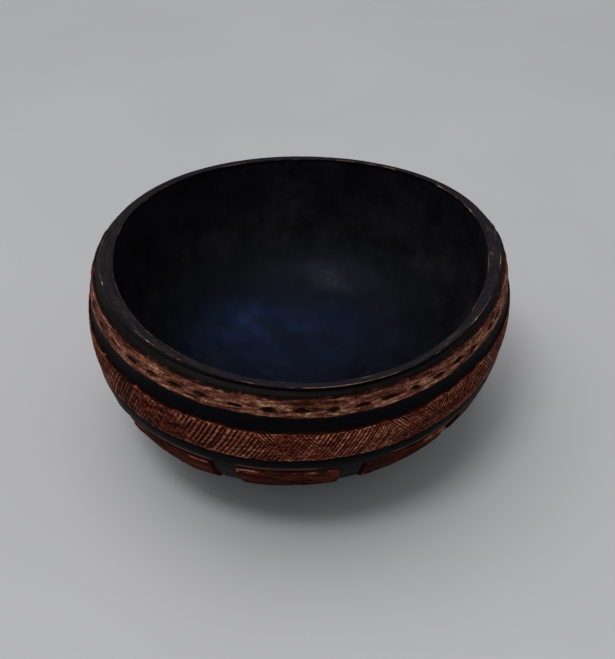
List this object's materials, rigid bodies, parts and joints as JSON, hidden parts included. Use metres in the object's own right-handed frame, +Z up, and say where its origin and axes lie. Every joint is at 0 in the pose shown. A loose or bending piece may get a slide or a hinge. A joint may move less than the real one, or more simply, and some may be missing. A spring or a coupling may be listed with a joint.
{
  "type": "carved wooden bowl",
  "caption": "Round hand-carved wooden bowl, blackened and waxed, with carved bands, hatched zigzags and raised panels round the outside and a small flat base.",
  "frame": {"origin": "centre of the flat base, on the surface that the bowl stands on", "axes": "+Z up out of the mouth along the bowl's axis; -Y faces the side with the middle panel that the picture looks at; +X to the right of that view"},
  "size_m": [0.21, 0.21, 0.098],
  "materials": {
    "blackened_wood": "burnt black and waxed, semi-gloss",
    "rim_wood": "blackened, worn grey-brown along the edges",
    "carved_wood": "bare chiselled wood, matt",
    "hatched_wood": "knife-hatched reddish wood, matt with a thin wax",
    "panel_wood": "bare chiselled wood, darkened"
  },
  "bodies": {
    "root": {"bowl_shell": "blackened_wood", "rim": "rim_wood", "collar": "blackened_wood", "upper_carved_band": "carved_wood", "channel_band": "blackened_wood", "hatched_band": "hatched_wood", "lower_bead": "blackened_wood", "lower_panel_01": "panel_wood", "lower_panel_02": "panel_wood", "lower_panel_03": "panel_wood", "lower_panel_04": "panel_wood", "lower_panel_05": "panel_wood", "lower_panel_06": "panel_wood", "lower_panel_07": "panel_wood", "lower_panel_08": "panel_wood", "lower_panel_09": "panel_wood", "lower_panel_10": "panel_wood", "lower_panel_11": "panel_wood"}
  },
  "joints": []
}
